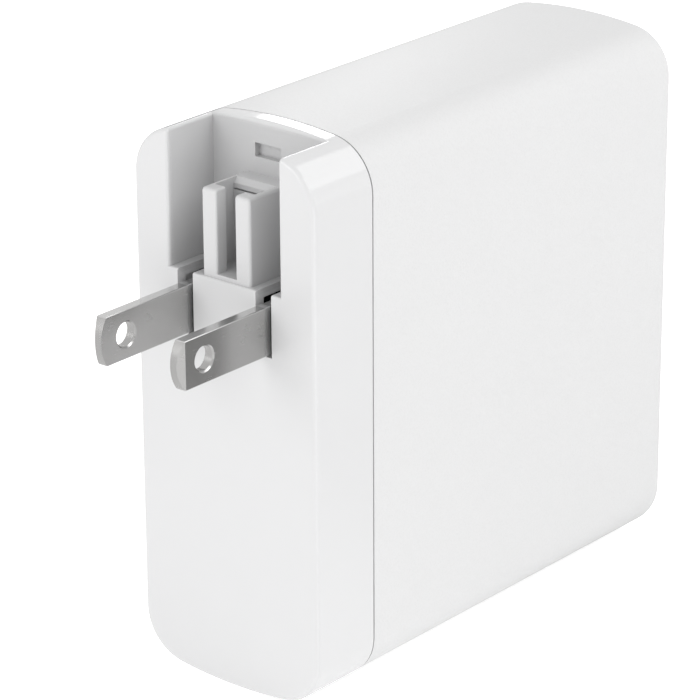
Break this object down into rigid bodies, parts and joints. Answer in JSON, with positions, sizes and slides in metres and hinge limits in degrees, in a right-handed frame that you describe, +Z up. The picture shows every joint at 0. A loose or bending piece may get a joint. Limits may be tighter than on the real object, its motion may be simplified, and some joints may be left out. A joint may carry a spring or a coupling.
{
  "type": "laptop power adapter",
  "caption": "Flat rectangular laptop power adapter with a glossy front cap, folding flat-blade mains plug in a recess, and charging sockets on the rear face.",
  "frame": {"origin": "on the flat outlet face, midway between the two deployed blades at the height of their centre line", "axes": "+X to the right across the outlet face, +Y into the body (the deployed blades point along -Y), +Z up along the height"},
  "size_m": [0.029, 0.0902, 0.0729],
  "materials": {
    "cap_gloss": "smooth glossy white plastic",
    "shell_matte": "fine-grained matte white plastic",
    "blade_nickel": "satin nickel plating on brass",
    "hub_black": "black glass-filled plastic",
    "retainer_black": "black plastic",
    "screw_steel": "zinc-plated steel",
    "contact_bronze": "phosphor bronze strip",
    "spring_steel": "spring steel strip",
    "wire_black": "black insulated wire",
    "wire_white": "white insulated wire",
    "board_green": "green solder mask on glass-epoxy board",
    "film_yellow": "yellow film-capacitor case",
    "ferrite": "dark sintered ferrite",
    "winding_copper": "enamelled copper wire",
    "winding_tape": "yellow tape over a copper winding",
    "fuse_brown": "brown fuse case",
    "disc_blue": "blue dipped disc",
    "can_sleeve": "aluminium can in a dark sleeve",
    "can_bare": "bare aluminium can",
    "chip_black": "black moulded package",
    "sheet_clear": "thin insulating film",
    "spreader": "rolled aluminium sheet",
    "socket_steel": "nickel-plated socket shell",
    "tongue_black": "black socket insulator"
  },
  "bodies": {
    "housing": {"front_cap": "cap_gloss", "body_shell": "shell_matte", "hub_retainer": "retainer_black", "retainer_screws": "screw_steel", "left_contact_spring": "contact_bronze", "right_contact_spring": "contact_bronze", "detent_spring": "spring_steel", "line_wire": "wire_black", "neutral_wire": "wire_white", "main_board": "board_green", "port_board": "board_green", "x_capacitor": "film_yellow", "choke_core": "ferrite", "choke_windings": "winding_copper", "inlet_fuse": "fuse_brown", "surge_varistor": "disc_blue", "bridge_rectifier": "chip_black", "bulk_capacitors": "can_sleeve", "y_capacitor": "disc_blue", "transformer_core": "ferrite", "transformer_winding": "winding_tape", "output_capacitors": "can_bare", "output_inductor": "chip_black", "power_switches": "chip_black", "control_chips": "chip_black", "insulation_sheet": "sheet_clear", "heat_spreader": "spreader", "upper_usb_c_shell": "socket_steel", "upper_usb_c_tongue": "tongue_black", "lower_usb_c_shell": "socket_steel", "lower_usb_c_tongue": "tongue_black", "usb_a_shell": "socket_steel", "usb_a_tongue": "tongue_black"},
    "blades": {"left_blade": "blade_nickel", "right_blade": "blade_nickel", "blade_hub": "hub_black"}
  },
  "joints": [
    {"name": "blade_fold", "type": "hinge", "parent": "housing", "child": "blades", "pos_m": [0, 0.0044, 0], "axis": [-1, 0, 0], "range_deg": [0, 90]}
  ]
}
